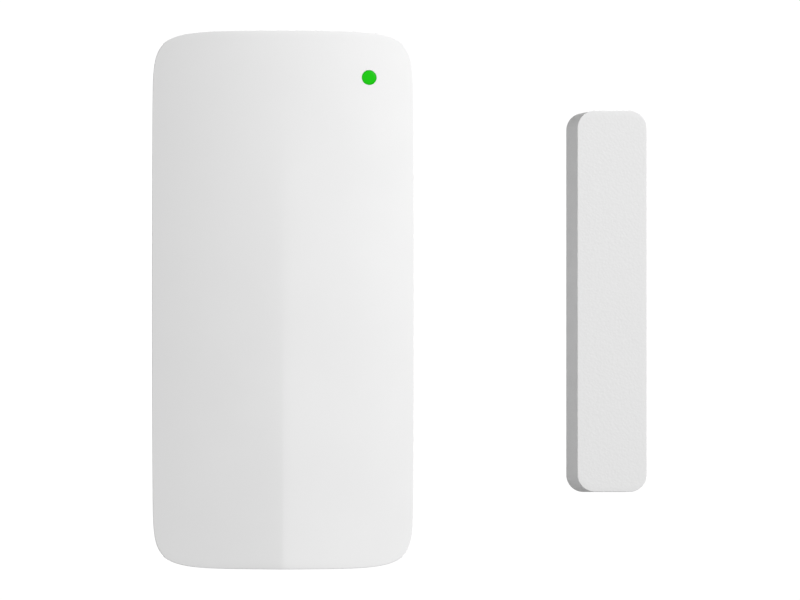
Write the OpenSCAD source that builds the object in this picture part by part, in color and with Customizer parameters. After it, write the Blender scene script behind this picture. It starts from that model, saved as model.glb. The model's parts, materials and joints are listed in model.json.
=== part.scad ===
// Magnetic door contact in two units: a battery-powered sensor unit with a hinged
// front cover, and a slim magnet unit that rides on the moving door beside it.
// Each sub-part is drawn in plan (x across, y up the wall, z off the wall) and then
// stood up by on_wall(), so that the wall is the plane y = 0 and +Z is up.

/* [Sensor unit] */
// Width of the sensor unit
body_w = 45.5; // [45:0.1:47]
// Height of the sensor unit
body_h = 93; // [93:0.5:96]
// Depth from the wall to the crest of the front
body_d = 21; // [21:0.5:24]
// Thickness of the front cover's side walls
wall_t = 1.7; // [1.5:0.1:1.7]
// Thickness of the front cover's face
face_t = 1.8; // [1.5:0.1:1.9]

/* [Front shape] */
// Slope that the arched face reaches at its long edges
edge_slope = 0.213; // [0.12:0.001:0.22]
// Slope of each facet beside the ridge, as a share of edge_slope
ridge_share = 0.4; // [0.2:0.05:0.6]
// Slope of each facet at the long edges, as a share of edge_slope
facet_share = 0.75; // [0.65:0.05:0.9]
// Height above the centre where the ridge starts to grow
ridge_start = 41; // [20:1:44]
// Half width of the rounded crest of the ridge
ridge_round = 0.5; // [0.2:0.1:1.0]
// Radius of the small round along the face's edge
edge_round = 0.12; // [0.1:0.02:0.5]

/* [Status light] */
// Radius of the light guide's visible end
light_r = 1.25; // [0.9:0.05:1.4]
// Distance of the light to the right of the centre
light_x = 14.9; // [14:0.1:15.2]
// Distance of the light above the centre
light_y = 38.5; // [37.6:0.1:38.8]

/* [Cover hinge and tamper switch] */
// Radius of the hinge pins on the back plate
pin_r = 0.7; // [0.6:0.05:0.75]
// Radial running clearance of a hinge pin in its knuckle
pin_clearance = 0.05; // [0.03:0.01:0.08]
// Distance of each hinge from the centre line
hinge_x = 9; // [8:0.5:10]
// Height of the tamper plunger's tip off the wall, cover closed
tamper_tip = 11; // [10.5:0.1:11.5]

/* [Batteries] */
// Radius of an AA cell
cell_r = 7.25; // [7.1:0.05:7.25]
// Length of an AA cell with its positive nub
cell_l = 50.5; // [50.1:0.1:50.5]

/* [Wall fixing] */
// Radius of the wall screw holes
screw_hole_r = 1.9; // [1.7:0.05:2.1]
// Distance between the two wall screw holes
screw_spacing = 38; // [34:1:40]
// Thickness of the foam adhesive pads
pad_t = 0.9; // [0.6:0.1:1.0]

/* [Magnet unit] */
// Width of the magnet unit's front
magnet_w = 12.3; // [12:0.1:13]
// Height of the magnet unit's front
magnet_h = 67.4; // [66:0.1:70]
// Depth of the magnet unit off the wall
magnet_d = 11; // [10:0.5:12]
// Corner radius of the magnet unit's front
magnet_corner = 3.1; // [2.9:0.05:3.4]
// How far each side leans out from the front to the wall
magnet_draft = 0.68; // [0.5:0.02:0.8]
// Distance between the sensor unit and the magnet unit with the door open
open_gap = 28.6; // [27:0.1:32]
// Distance between the magnet unit's own two screw holes
magnet_screw_spacing = 56; // [54:1:57]

/* [Hidden] */
$fn = 48;
eps = 0.01; // overlap of joined shapes
over = 1; // overshoot of cuts
far = 100;

// outline of the sensor unit: a superellipse whose long sides draw in a little at their ends
half_w = body_w / 2;
half_h = body_h / 2;
side_power = 5.5;
end_power = 21;
side_bow = 0.18;
mesh_steps = 14;
corner_y = 0.953 * half_h;
round_steps = 3;
rim_z = 0.5;
rim_chamfer = 0.4;

// back plate and what stands on it
plate_w = body_w - 2 * wall_t - 0.6;
plate_h = body_h - 2 * wall_t - 2.8;
plate_t = 2;
plate_corner = 6;
lip_t = 1;
lip_z = 4;
pad_w = 34;
pad_gap = 0.2;
upper_pad = [15, 37];
lower_pad = [-24, -4];

// hinge along the top edge, close to the wall and inside the cover's wall
hinge_y = half_h - 1.5;
hinge_z = 1.55;
knuckle_r = 1.25;
knuckle_w = 1.65;
lug_r = 1.05;
lug_t = 1.3;
lug_gap = 0.2;
bore_r = pin_r + pin_clearance;
pin_half = 2.3;
slit_w = 1;
slot_back = 2;
slot_rise = 1.75;
lug_root = 2;

// snap tongue at the lower edge, drawn relaxed just clear of the cover
tongue_half = 4;
tongue_t = 1;
tongue_top = 9;
tongue_gap = 0.5;
tongue_y = -half_h + wall_t + tongue_gap;
nose_z = [3.2, 4.4];
nose_out = 0.3;
window_half = 3.5;
window_z = [3, 4.8];
nose_half = window_half - 0.3;

// battery bay: two cells side by side with opposite ends up
cell_pitch = 15.1;
cells_x = -3.3;
bay_low = [-18.3, -41];
bay_high = [11.7, 13];
bay_wall = 1.05;
bay_corner = 2;
bay_top = 12;
cell_z = 9.65;
cell_clearance = 0.1;
cell_xs = [cells_x - cell_pitch / 2, cells_x + cell_pitch / 2];
contact_t = 0.4;
dimple_t = 0.3;
nub_l = 1;
nub_r = 2.75;
crimp = 0.4;
spring_l = bay_high.y - bay_low.y - 2 * contact_t - dimple_t - cell_l;
dimple_r = 1.8;
cradle_ys = [-33, -14, 4];
cradle_half = 0.7;
cradle_top = 5.5;
notch_ys = [-22, -6];
notch_z = 6;
tab_half = 1.2;
tab_gap = 0.2;
tab_lap = 2;
contact_z = [4, 14];
contact_half = 4.5;
bridge_half = 5;
spring_r = [4.2, 3.2];
spring_wire = 0.8;
holes_y = -11;

// circuit board and the parts on it
board_z = 5;
board_t = 1;
board_top = board_z + board_t;
board_low = [-19.2, 15];
board_high = [19.2, 42];
board_corner = 5;
arm_low = [13.6, -12];
arm_corner = 1;
arm_lap = 3;
board_screw_at = [[-15.5, 37.5], [-15.5, 18.5], [16.4, 18.5]];
board_post_r = 2.2;
board_hole_r = 1.1;
pilot_r = 0.85;
pilot_floor = 0.2;
board_screw_r = 0.8;
screw_head_r = 1.75;
screw_head_t = 1.3;
screw_tip_z = 2.5;
recess_half = [1, 0.2];
recess_deep = 0.6;
locator_at = [16.4, -10.2];
locator_r = 0.9;
locator_fit = 0.1;
locator_top = 6.3;
module_low = [-10, 22];
module_high = [5, 38];
module_t = 0.8;
shield_inset = 0.8;
shield_low_y = 26.5;
shield_t = 2.2;
shield_corner = 0.6;
sheet_t = 0.3;
led_base = [1, 0.65, 0.3];
led_lens = [0.65, 0.6, 0.8];
coil_y = 40.2;
coil_r = 2;
coil_wire = 0.6;
coil_half = 8;
coil_lift = 0.3;
chip_at = [10.6, 30.6];
chip_half = 3;
chip_z = [0.1, 1];
chip_legs = 8;
leg_pitch = 0.65;
leg_half = 0.12;
leg_out = 0.7;
leg_top = 0.35;
crystal_at = [10.6, 24.6];
crystal_flange = [2.5, 1.6, 0.4];
crystal_can = [2.3, 1.4, 1.1];
crystal_corner = 0.5;
capacitor_at = [-2, 18.7];
capacitor_base = [2.5, 2.5, 0.8];
capacitor_r = 2.35;
capacitor_top = 5.4;
resistor_half = [0.8, 0.4, 0.45];
resistor_at = [[7.4, 36.6], [9.8, 36.6], [12.2, 36.6], [9.8, 38.4], [12.2, 38.4],
    [11, 40.6], [-14.8, 23], [-11.9, 18.6], [-8.2, 19.2], [16.4, 12.4], [16.4, 14.4]];
tamper_at = [-14.8, 28.5];
setup_at = [9.8, 18.9];
tact_half = 3;
tact_t = 3.4;
tact_floor = 1;
setup_tip = 11.2;
button_r = 1.7;
button_fit = 0.08;
button_foot = 1.6;
tamper_post_r = 1.3;
tamper_gap = 0.1;

// reed switch: two flat blades in a sealed glass tube
reed_x = 16.4;
reed_z = 7.8;
reed_half = 7;
reed_r = 1.1;
reed_bore = 0.85;
reed_seal = 1;
reed_lead_r = 0.3;
reed_leg = 9;
blade_half = 0.6;
blade_t = 0.2;
blade_gap = 0.2;
blade_lap = 0.6;
blade_root_y = 5.9;
blade_root_r = 0.15;
lead_gap = 0.2;

// light guide and its socket
light_z = face_z(light_x, light_y);
light_slope = 2 * edge_slope * light_x / body_w;
guide_low = 7.6;
collar_r = 1.6;
collar_gap = 0.1;
light_fit = 0.05;
light_trim = 4;
socket_r = 2.7;
socket_low = 14.5;
collar_top = light_z - face_t + 0.1;
rib_half = 0.6;
rib_ys = [-34, 4];
rib_drop = [1.6, 5.8];

// magnet unit
magnet_x = half_w + open_gap + magnet_w / 2 + magnet_draft;
magnet_wall = 1.3;
magnet_face = 1.4;
magnet_rim = 0.3;
magnet_bevel = 0.2;
corner_facets = 48;
base_t = 2;
magnet_hole_r = 1.75;
magnet_pad_half = 22;
magnet_pad_w = 7;
magnet_pad_gap = 0.1;
pad_corner = 2;
magnet_pad_corner = 1;
bar_w = 8;
bar_h = 40;
bar_z = [base_t + 0.05, base_t + 4.55];
rail_t = 0.7;
rail_top = 4.6;
rail_gap = 0.1;
stop_gap = 0.2;
stop_half = 3;
stop_t = 1;
stop_top = 5.6;

// ---------------------------------------------------------------- helpers

module on_wall() rotate([90, 0, 0]) children();

// box between two opposite corners
module slab(low, high) translate(low) cube(high - low);

// box about the z axis: half its width, half its height and its top, from a given floor
module centred_slab(half, floor_z) slab([-half.x, -half.y, floor_z], half);

module post(at, z0, z1, r) translate([at.x, at.y, z0]) cylinder(h = z1 - z0, r = r);

module rod_x(x0, x1, y, z, r)
    translate([x0, y, z]) rotate([0, 90, 0]) cylinder(h = x1 - x0, r = r);

module rod_y(y0, y1, x, z, r)
    translate([x, y0, z]) rotate([-90, 0, 0]) cylinder(h = y1 - y0, r = r);

// rounded rectangle between two corners, with true arcs
module rounded(low, high, r) {
    translate([low.x + r, low.y]) square([high.x - low.x - 2 * r, high.y - low.y]);
    translate([low.x, low.y + r]) square([high.x - low.x, high.y - low.y - 2 * r]);
    for (x = [low.x + r, high.x - r], y = [low.y + r, high.y - r])
        translate([x, y]) circle(r);
}

module rounded_slab(low, high, r)
    translate([0, 0, low.z]) linear_extrude(high.z - low.z) rounded([low.x, low.y], [high.x, high.y], r);

// ---------------------------------------------------------------- shape of the front

// how far across or up the outline reaches at a given height or width
function side_at(y) = (half_w - side_bow * pow(y / half_h, 2))
    * pow(1 - pow(abs(y) / half_h, end_power), 1 / side_power);
function end_at(x) = half_h * pow(1 - pow(abs(x) / half_w, side_power), 1 / end_power);

// fall of the face from its crest: an arch that turns into two facets and a ridge
function ridge_growth(y) = max(0, min(1, (ridge_start - y) / (ridge_start + half_h)));
function soft_abs(x) = sqrt(x * x + ridge_round * ridge_round) - ridge_round;
function arch_fall(x) = edge_slope * x * x / body_w;
function facet_fall(x) = edge_slope * (ridge_share * soft_abs(x)
    + (facet_share - ridge_share) * x * x / body_w);
function face_z(x, y) = body_d - (1 - ridge_growth(y)) * arch_fall(x) - ridge_growth(y) * facet_fall(x);

// outline point in the direction of a cell on the edge of a square grid
function outline_at(u, v) = abs(u) >= abs(v)
    ? [sign(u) * side_at(corner_y * sin(90 * v)), corner_y * sin(90 * v)]
    : [side_at(corner_y) * sin(90 * u), sign(v) * end_at(side_at(corner_y) * sin(90 * u))];
function inset(p, d) = [p.x * (half_w - d) / half_w, p.y * (half_h - d) / half_h];

// the face is a square grid whose rings shrink towards the centre, so x = 0 is a grid line
function grid_point(i, j, d) = let (r = max(abs(i), abs(j)) / mesh_steps)
    r == 0 ? [0, 0] : r * inset(outline_at(i / mesh_steps / r, j / mesh_steps / r), d);
function skin(d, drop) = [for (j = [-mesh_steps:mesh_steps], i = [-mesh_steps:mesh_steps])
    let (p = grid_point(i, j, d)) [p.x, p.y, face_z(p.x, p.y) - drop]];

// cells round the edge of the grid, anticlockwise from the lower right corner
side_cells = 2 * mesh_steps;
ring_cells = 4 * side_cells;
function ring_cell(n) = let (side = floor(n / side_cells), m = n % side_cells - mesh_steps)
    side == 0 ? [mesh_steps, m] : side == 1 ? [-m, mesh_steps]
    : side == 2 ? [-mesh_steps, -m] : [m, -mesh_steps];
function grid_index(i, j) = (j + mesh_steps) * (side_cells + 1) + i + mesh_steps;
function ring_point(n, d) = let (c = ring_cell(n)) grid_point(c.x, c.y, d);
function level_ring(d, z) = [for (n = [0:ring_cells - 1]) let (p = ring_point(n, d)) [p.x, p.y, z]];
function round_ring(angle) = [for (n = [0:ring_cells - 1])
    let (p = ring_point(n, edge_round * (1 - cos(angle))), q = ring_point(n, edge_round))
    [p.x, p.y, face_z(q.x, q.y) - edge_round * (1 - sin(angle))]];

function two_triangles(a, b, c, d) = [[a, b, c], [a, c, d]];
// quads of a grid, seen clockwise from the side that it faces
function grid_faces(first, up) = [for (j = [-mesh_steps:mesh_steps - 1], i = [-mesh_steps:mesh_steps - 1])
    let (a = first + grid_index(i, j), b = first + grid_index(i + 1, j),
        c = first + grid_index(i + 1, j + 1), d = first + grid_index(i, j + 1))
    each up ? two_triangles(a, d, c, b) : two_triangles(a, b, c, d)];
// quads between two rings of vertex numbers, facing outwards from low to high
function band_faces(low, high) = [for (n = [0:ring_cells - 1]) let (m = (n + 1) % ring_cells)
    each two_triangles(low[n], high[n], high[m], low[m])];
function numbers(first) = [for (n = [0:ring_cells - 1]) first + n];
function grid_edge(first) = [for (n = [0:ring_cells - 1])
    let (c = ring_cell(n)) first + grid_index(c.x, c.y)];

module cover_shell() {
    grid_count = (side_cells + 1) * (side_cells + 1);
    outer_rings = [
        level_ring(rim_chamfer, rim_z),
        level_ring(0, rim_z + rim_chamfer),
        for (k = [0:round_steps - 1]) round_ring(90 * k / round_steps)
    ];
    inner_rim = level_ring(wall_t, rim_z);
    points = concat(skin(edge_round, 0), skin(wall_t, face_t), [for (r = outer_rings) each r], inner_rim);
    outer_edge = grid_edge(0);
    inner_edge = grid_edge(grid_count);
    outer = [for (k = [0:len(outer_rings) - 1]) numbers(2 * grid_count + k * ring_cells)];
    rim = numbers(2 * grid_count + len(outer_rings) * ring_cells);
    polyhedron(points, concat(
        [for (k = [0:len(outer_rings) - 2]) each band_faces(outer[k], outer[k + 1])],
        band_faces(outer[len(outer_rings) - 1], outer_edge),
        band_faces(inner_edge, rim),
        band_faces(rim, outer[0]),
        grid_faces(0, true),
        grid_faces(grid_count, false)), convexity = 6);
}

// ---------------------------------------------------------------- front cover

module knuckles(side) for (k = [-1, 1])
    rod_x(side * hinge_x + k * (lug_t / 2 + lug_gap + knuckle_w / 2) - knuckle_w / 2,
        side * hinge_x + k * (lug_t / 2 + lug_gap + knuckle_w / 2) + knuckle_w / 2,
        hinge_y, hinge_z, knuckle_r);

// slot for the lug, bore for the pin and the slit that the pin snaps in through
module hinge_cut(side) {
    x = side * hinge_x;
    slot_half = lug_t / 2 + lug_gap;
    cut_half = pin_half + lug_gap;
    slab([x - slot_half, hinge_y - slot_back, -over], [x + slot_half, half_h + over, hinge_z + slot_rise]);
    rod_x(x - cut_half, x + cut_half, hinge_y, hinge_z, bore_r);
    slab([x - cut_half, hinge_y - slit_w / 2, -over], [x + cut_half, hinge_y + slit_w / 2, hinge_z]);
}

module front_cover() color("whitesmoke") on_wall() difference() {
    union() {
        cover_shell();
        knuckles(-1);
        knuckles(1);
        post([light_x, light_y], socket_low, light_z - face_t / 2, socket_r);
        post(tamper_at, tamper_tip + tamper_gap, face_z(tamper_at.x, tamper_at.y) - face_t / 2,
            tamper_post_r);
        slab([cells_x - rib_half, rib_ys[0], body_d - rib_drop[1]],
            [cells_x + rib_half, rib_ys[1], body_d - rib_drop[0]]);
    }
    hinge_cut(-1);
    hinge_cut(1);
    post([light_x, light_y], socket_low - over, far, light_r + light_fit);
    post([light_x, light_y], socket_low - over, collar_top + light_fit, collar_r + collar_gap);
    slab([-window_half, -half_h - over, window_z[0]], [window_half, -half_h + wall_t + over, window_z[1]]);
}

module light_guide() color("limegreen") on_wall() difference() {
    union() {
        post([light_x, light_y], guide_low, body_d, light_r);
        post([light_x, light_y], socket_low, collar_top, collar_r);
    }
    translate([light_x, light_y, light_z]) rotate([0, atan(light_slope), 0])
        slab([-light_trim, -light_trim, 0], [light_trim, light_trim, light_trim]);
}

// ---------------------------------------------------------------- back plate

module board_posts() difference() {
    union() {
        for (at = board_screw_at) post(at, plate_t - eps, board_z, board_post_r);
        post(locator_at, plate_t - eps, board_z, board_post_r);
        post(locator_at, plate_t, locator_top, locator_r);
    }
    for (at = board_screw_at) post(at, plate_t + pilot_floor, board_top, pilot_r);
}

// walls round the cells, with a finger notch, slots for the contact tabs and cradles
module battery_bay() {
    out = [bay_wall, bay_wall];
    difference() {
        translate([0, 0, plate_t - eps]) linear_extrude(bay_top - plate_t) difference() {
            rounded(bay_low - out, bay_high + out, bay_corner);
            rounded(bay_low, bay_high, bay_corner - bay_wall);
        }
        slab([bay_low.x - bay_wall - over, notch_ys[0], notch_z], [bay_low.x + over, notch_ys[1], far]);
        for (x = cell_xs)
            slab([x - tab_half - tab_gap, bay_high.y - over, board_top - tab_gap / 2],
                [x + tab_half + tab_gap, bay_high.y + bay_wall + over, board_top + contact_t + tab_gap]);
    }
    difference() {
        for (y = cradle_ys)
            slab([bay_low.x - eps, y - cradle_half, plate_t - eps],
                [bay_high.x + eps, y + cradle_half, cradle_top]);
        for (x = cell_xs) rod_y(bay_low.y, bay_high.y, x, cell_z, cell_r + cell_clearance);
    }
}

module hinge_lugs() for (side = [-1, 1]) {
    x = side * hinge_x;
    slab([x - lug_t / 2, plate_h / 2 - lug_root, hinge_z - lug_r], [x + lug_t / 2, hinge_y, hinge_z + lug_r]);
    rod_x(x - lug_t / 2, x + lug_t / 2, hinge_y, hinge_z, lug_r);
    rod_x(x - pin_half, x + pin_half, hinge_y, hinge_z, pin_r);
}

module snap_tongue() {
    slab([-tongue_half, tongue_y, 0], [tongue_half, -plate_h / 2 + tongue_t, plate_t]);
    slab([-tongue_half, tongue_y, 0], [tongue_half, tongue_y + tongue_t, tongue_top]);
    slab([-nose_half, tongue_y - nose_out, nose_z[0]], [nose_half, tongue_y + eps, nose_z[1]]);
}

module pad_shape(ys, gap, z1)
    rounded_slab([-pad_w / 2 - gap, ys[0] - gap, -eps], [pad_w / 2 + gap, ys[1] + gap, z1], pad_corner);

module back_plate() color("gainsboro") on_wall() difference() {
    union() {
        rounded_slab([-plate_w / 2, -plate_h / 2, 0], [plate_w / 2, plate_h / 2, plate_t], plate_corner);
        difference() {
            rounded_slab([-plate_w / 2, -plate_h / 2, plate_t - eps],
                [plate_w / 2, plate_h / 2, lip_z], plate_corner);
            rounded_slab([-plate_w / 2 + lip_t, -plate_h / 2 + lip_t, 0],
                [plate_w / 2 - lip_t, plate_h / 2 - lip_t, lip_z + over], plate_corner - lip_t);
        }
        board_posts();
        battery_bay();
        hinge_lugs();
        snap_tongue();
    }
    pad_shape(upper_pad, pad_gap, pad_t);
    pad_shape(lower_pad, pad_gap, pad_t);
    for (side = [-1, 1])
        post([cells_x, holes_y + side * screw_spacing / 2], -over, plate_t + over, screw_hole_r);
}

module adhesive_pads() color("silver") on_wall() for (ys = [upper_pad, lower_pad])
    rounded_slab([-pad_w / 2, ys[0], 0], [pad_w / 2, ys[1], pad_t], pad_corner);

// ---------------------------------------------------------------- circuit board

module circuit_board() color("darkgreen") on_wall() translate([0, 0, board_z])
    linear_extrude(board_t) difference() {
        union() {
            rounded(board_low, board_high, board_corner);
            translate(board_low) square([board_high.x - board_low.x, board_corner]);
            rounded(arm_low, [board_high.x, board_low.y + arm_lap], arm_corner);
        }
        for (at = board_screw_at) translate(at) circle(board_hole_r);
        translate(locator_at) circle(locator_r + locator_fit);
    }

module board_screws() color("silver") on_wall() for (at = board_screw_at) difference() {
    union() {
        post(at, screw_tip_z, board_top + eps, board_screw_r);
        post(at, board_top, board_top + screw_head_t, screw_head_r);
    }
    for (turn = [0, 90]) translate([at.x, at.y, board_top + screw_head_t])
        rotate([0, 0, turn]) slab([-recess_half.x, -recess_half.y, -recess_deep],
            [recess_half.x, recess_half.y, over]);
}

module status_led() color("honeydew") on_wall() translate([light_x, light_y, board_top]) {
    centred_slab(led_base, 0);
    centred_slab(led_lens, led_base.z - eps);
}

module radio_module() color("midnightblue") on_wall()
    slab([module_low.x, module_low.y, board_top], [module_high.x, module_high.y, board_top + module_t]);

module radio_shield() color("silver") on_wall() {
    z0 = board_top + module_t;
    low = [module_low.x + shield_inset, shield_low_y];
    high = [module_high.x - shield_inset, module_high.y - shield_inset];
    difference() {
        rounded_slab([low.x, low.y, z0], [high.x, high.y, z0 + shield_t], shield_corner);
        slab([low.x + sheet_t, low.y + sheet_t, z0 - over],
            [high.x - sheet_t, high.y - sheet_t, z0 + shield_t - sheet_t]);
    }
}

// envelope of the helical antenna, with its feed leg
module antenna_coil() color("goldenrod") on_wall() {
    z = board_top + coil_lift + coil_r;
    difference() {
        rod_x(-coil_half, coil_half, coil_y, z, coil_r);
        rod_x(-coil_half - over, coil_half + over, coil_y, z, coil_r - coil_wire);
    }
    slab([-coil_half, coil_y - coil_wire / 2, board_top],
        [-coil_half + coil_wire, coil_y + coil_wire / 2, z - coil_r + coil_wire / 2]);
}

module processor_chip() color("dimgray") on_wall() translate([chip_at.x, chip_at.y, board_top]) {
    slab([-chip_half, -chip_half, chip_z[0]], [chip_half, chip_half, chip_z[1]]);
    for (turn = [0:90:270], k = [0:chip_legs - 1]) rotate([0, 0, turn])
        translate([(k - (chip_legs - 1) / 2) * leg_pitch, 0, 0])
            slab([-leg_half, chip_half - eps, 0], [leg_half, chip_half + leg_out, leg_top]);
}

module crystal() color("silver") on_wall() translate([crystal_at.x, crystal_at.y, board_top]) {
    centred_slab(crystal_flange, 0);
    rounded_slab([-crystal_can.x, -crystal_can.y, crystal_flange.z - eps], crystal_can, crystal_corner);
}

module capacitor() color("gray") on_wall() translate([capacitor_at.x, capacitor_at.y, board_top]) {
    centred_slab(capacitor_base, 0);
    post([0, 0], capacitor_base.z - eps, capacitor_top, capacitor_r);
}

module resistors() color("black") on_wall() for (at = resistor_at)
    translate([at.x, at.y, board_top]) centred_slab(resistor_half, 0);

// ---------------------------------------------------------------- switches

module tact_body(at) difference() {
    translate([at.x, at.y, board_top]) centred_slab([tact_half, tact_half, tact_t], 0);
    post(at, board_top + tact_floor, far, button_r + button_fit);
}

// round key that stands in a switch body, clear of its floor by its stroke
module key(at, tip) post(at, board_top + button_foot, tip, button_r);

module tamper_switch() color("black") on_wall() tact_body(tamper_at);

module tamper_plunger() color("ivory") on_wall() key(tamper_at, tamper_tip);

module setup_switch() color("black") on_wall() tact_body(setup_at);

module setup_button() color("ivory") on_wall() key(setup_at, setup_tip);

// ---------------------------------------------------------------- reed switch

module reed_glass() color("lightcyan", 0.5) on_wall() difference() {
    rod_y(-reed_half, reed_half, reed_x, reed_z, reed_r);
    rod_y(-reed_half + reed_seal, reed_half - reed_seal, reed_x, reed_z, reed_bore);
    rod_y(-far, far, reed_x, reed_z, reed_lead_r + eps);
}

// round lead with a leg that is bent down to the board
module reed_lead(side, inner) {
    ends = [side * inner, side * reed_leg];
    rod_y(min(ends), max(ends), reed_x, reed_z, reed_lead_r);
    post([reed_x, side * reed_leg], board_top, reed_z, reed_lead_r);
    translate([reed_x, side * reed_leg, reed_z]) sphere(reed_lead_r);
}

module reed_fixed_lead() color("gold") on_wall() {
    top = reed_z - blade_gap / 2;
    reed_lead(-1, reed_half - reed_seal - lead_gap);
    slab([reed_x - blade_half, -reed_half + reed_seal + eps, top - blade_t],
        [reed_x + blade_half, blade_lap, top]);
}

module reed_anchor_lead() color("gold") on_wall() reed_lead(1, reed_half - reed_seal + lead_gap);

// moving blade with a rolled root, about which it yields
module reed_armature() color("gold") on_wall() {
    low = reed_z + blade_gap / 2;
    slab([reed_x - blade_half, -blade_lap, low], [reed_x + blade_half, blade_root_y, low + blade_t]);
    rod_x(reed_x - blade_half, reed_x + blade_half, blade_root_y, low + blade_t / 2, blade_root_r);
}

// ---------------------------------------------------------------- batteries

// AA cell on its side, flat end at flat_y and nub towards dir
module cell(x, flat_y, dir) translate([x, flat_y, cell_z]) rotate([-90 * dir, 0, 0]) rotate_extrude()
    polygon([[0, 0], [cell_r - 2 * crimp, 0], [cell_r - crimp, crimp / 2], [cell_r, 2 * crimp],
        [cell_r, cell_l - nub_l - 2 * crimp], [cell_r - crimp, cell_l - nub_l], [nub_r, cell_l - nub_l],
        [nub_r, cell_l], [0, cell_l]]);

module battery_cell_left() color("steelblue") on_wall()
    cell(cell_xs[0], bay_low.y + contact_t + spring_l, 1);

module battery_cell_right() color("steelblue") on_wall()
    cell(cell_xs[1], bay_high.y - contact_t - spring_l, -1);

// envelope of a conical spring, wide end on the contact plate
module spring_cone(x, plate_y, dir) translate([x, plate_y, cell_z]) rotate([-90 * dir, 0, 0]) rotate_extrude()
    polygon([[spring_r[0] - spring_wire, 0], [spring_r[0], 0],
        [spring_r[1], spring_l], [spring_r[1] - spring_wire, spring_l]]);

module battery_springs() color("silver") on_wall() {
    spring_cone(cell_xs[0], bay_low.y + contact_t, 1);
    spring_cone(cell_xs[1], bay_high.y - contact_t, -1);
}

module battery_bridge() color("silver") on_wall() {
    slab([cell_xs[0] - bridge_half, bay_low.y, contact_z[0]],
        [cell_xs[1] + bridge_half, bay_low.y + contact_t, contact_z[1]]);
    rod_y(bay_low.y + contact_t - eps, bay_low.y + contact_t + dimple_t, cell_xs[1], cell_z, dimple_r);
}

// contact plate at the top of the bay, with a tab that lies on the circuit board
module top_contact(x) {
    slab([x - contact_half, bay_high.y - contact_t, contact_z[0]],
        [x + contact_half, bay_high.y, contact_z[1]]);
    slab([x - tab_half, bay_high.y - contact_t, board_top],
        [x + tab_half, board_low.y + tab_lap, board_top + contact_t]);
}

module battery_plus_contact() color("silver") on_wall() {
    top_contact(cell_xs[0]);
    rod_y(bay_high.y - contact_t - dimple_t, bay_high.y - contact_t + eps, cell_xs[0], cell_z, dimple_r);
}

module battery_minus_contact() color("silver") on_wall() top_contact(cell_xs[1]);

// ---------------------------------------------------------------- magnet unit

// disc at each corner of the magnet unit, where its sides stand at height z
module corner_discs(z, r, thick) {
    lean = magnet_draft * (magnet_d - z) / magnet_d - magnet_corner;
    for (sx = [-1, 1], sy = [-1, 1])
        translate([magnet_x + sx * (magnet_w / 2 + lean), sy * (magnet_h / 2 + lean), z])
            cylinder(h = thick, r = r, $fn = corner_facets);
}

// rounded block whose sides lean in towards the front, with a small bevel at its edge
module draft_block(shrink, z0, z1, bevel) hull() {
    corner_discs(z0, magnet_corner - shrink, eps);
    corner_discs(z1 - bevel - eps, magnet_corner - shrink, eps);
    corner_discs(z1 - eps, magnet_corner - shrink - bevel, eps);
}

module magnet_cover() color("whitesmoke") on_wall() difference() {
    draft_block(0, magnet_rim, magnet_d, magnet_bevel);
    draft_block(magnet_wall, -over, magnet_d - magnet_face, 0);
}

module magnet_base() color("gainsboro") on_wall() translate([magnet_x, 0, 0]) {
    inside = magnet_draft / 2 - magnet_wall;
    half = [magnet_w / 2 + inside, magnet_h / 2 + inside];
    pad_half = [magnet_pad_w / 2 + magnet_pad_gap, magnet_pad_half + magnet_pad_gap];
    difference() {
        rounded_slab([-half.x, -half.y, 0], [half.x, half.y, base_t], magnet_corner - magnet_wall);
        rounded_slab([-pad_half.x, -pad_half.y, -over], [pad_half.x, pad_half.y, pad_t], magnet_pad_corner);
        for (y = [-1, 1] * magnet_screw_spacing / 2) post([0, y], -over, base_t + over, magnet_hole_r);
    }
    rail = bar_w / 2 + rail_gap;
    stop = bar_h / 2 + stop_gap;
    for (side = [0, 1]) mirror([side, 0, 0])
        slab([rail, -bar_h / 2, base_t - eps], [rail + rail_t, bar_h / 2, rail_top]);
    for (side = [0, 1]) mirror([0, side, 0])
        slab([-stop_half, stop, base_t - eps], [stop_half, stop + stop_t, stop_top]);
}

module magnet_adhesive() color("silver") on_wall() translate([magnet_x, 0, 0])
    rounded_slab([-magnet_pad_w / 2, -magnet_pad_half, 0], [magnet_pad_w / 2, magnet_pad_half, pad_t - eps],
        magnet_pad_corner);

module bar_magnet() color("slategray") on_wall() translate([magnet_x, 0, 0])
    slab([-bar_w / 2, -bar_h / 2, bar_z[0]], [bar_w / 2, bar_h / 2, bar_z[1]]);

// ---------------------------------------------------------------- nodes

back_plate();
adhesive_pads();
circuit_board();
board_screws();
status_led();
radio_module();
radio_shield();
antenna_coil();
processor_chip();
crystal();
capacitor();
resistors();
tamper_switch();
tamper_plunger();
setup_switch();
setup_button();
reed_glass();
reed_fixed_lead();
reed_anchor_lead();
reed_armature();
battery_cell_left();
battery_cell_right();
battery_springs();
battery_bridge();
battery_plus_contact();
battery_minus_contact();
front_cover();
light_guide();
magnet_base();
magnet_adhesive();
bar_magnet();
magnet_cover();
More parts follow.
